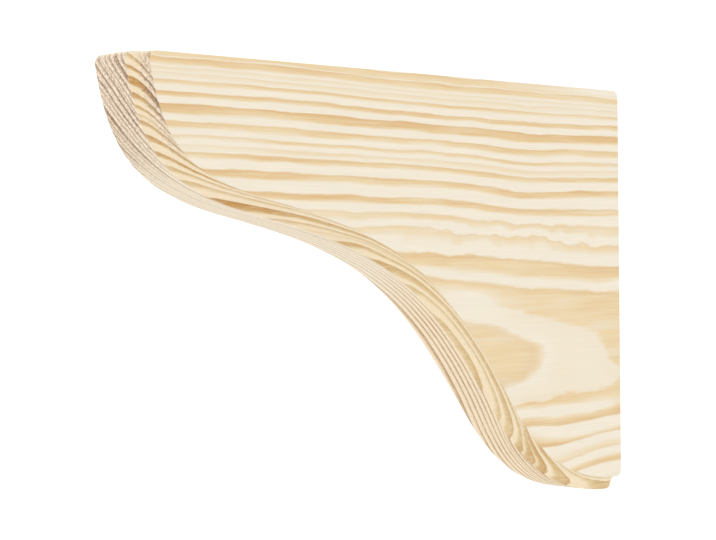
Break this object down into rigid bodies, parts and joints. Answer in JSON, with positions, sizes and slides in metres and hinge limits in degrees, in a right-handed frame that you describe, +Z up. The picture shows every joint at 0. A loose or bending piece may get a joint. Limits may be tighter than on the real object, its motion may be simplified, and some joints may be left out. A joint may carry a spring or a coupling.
{
  "type": "wooden corbel bracket",
  "caption": "Plain softwood shelf corbel: flat back and top, a double-curved front edge and a small cove along both front arrises.",
  "frame": {"origin": "middle of the flat back face that stands against the wall", "axes": "+Z up, +Y out of the back face into the wall, the tip toward -Y, X across the thickness of the board"},
  "size_m": [0.027, 0.2394, 0.16],
  "materials": {
    "pine": "matte"
  },
  "bodies": {
    "root": {"bracket": "pine"}
  },
  "joints": []
}
